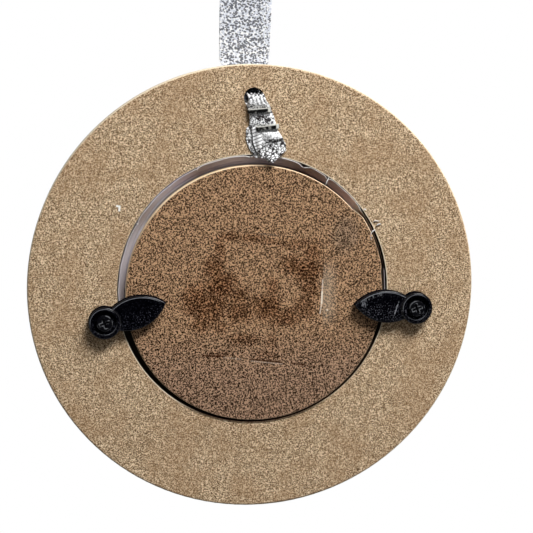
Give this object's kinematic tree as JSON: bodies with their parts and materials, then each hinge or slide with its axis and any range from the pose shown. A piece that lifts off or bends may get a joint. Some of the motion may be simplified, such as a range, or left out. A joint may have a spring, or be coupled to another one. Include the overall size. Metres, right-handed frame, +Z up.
{
  "type": "picture frame ornament",
  "caption": "Round fibreboard picture frame ornament: a hardboard backing disc is held in by plastic turn buttons, and it hangs by a glitter ribbon stapled to the back.",
  "frame": {"origin": "inside top of the ribbon's loop, where the hook or twig that it hangs from lies", "axes": "+Z up, the way the ornament hangs; +Y towards the decorated front, so the back with the turn buttons faces -Y; +X to the right as seen from the back"},
  "size_m": [0.1016, 0.0139, 0.1555],
  "materials": {
    "fibreboard": "raw tan fibreboard, painted white on the front",
    "film": "clear film, milky where it is bent up",
    "card": "plain white card",
    "hardboard": "brown hardboard, stained and dented",
    "button_plastic": "black moulded plastic, slightly scuffed",
    "blackened_steel": "black",
    "staple_wire": "dull grey flat wire",
    "glitter_ribbon": "silver glitter ribbon"
  },
  "bodies": {
    "frame": {"frame_ring": "fibreboard", "window_film": "film", "picture_card": "card", "backing_disc": "hardboard", "pivot_screws": "blackened_steel", "ribbon_staples": "staple_wire", "hanging_ribbon": "glitter_ribbon"},
    "left_button": {"left_turn_button": "button_plastic"},
    "right_button": {"right_turn_button": "button_plastic"}
  },
  "joints": [
    {"name": "left_button_pivot", "type": "hinge", "parent": "frame", "child": "left_button", "pos_m": [-0.03367, -0.00835, -0.11095], "axis": [0, -1, 0], "continuous": true},
    {"name": "right_button_pivot", "type": "hinge", "parent": "frame", "child": "right_button", "pos_m": [0.03734, -0.00835, -0.10879], "axis": [0, -1, 0], "continuous": true}
  ]
}
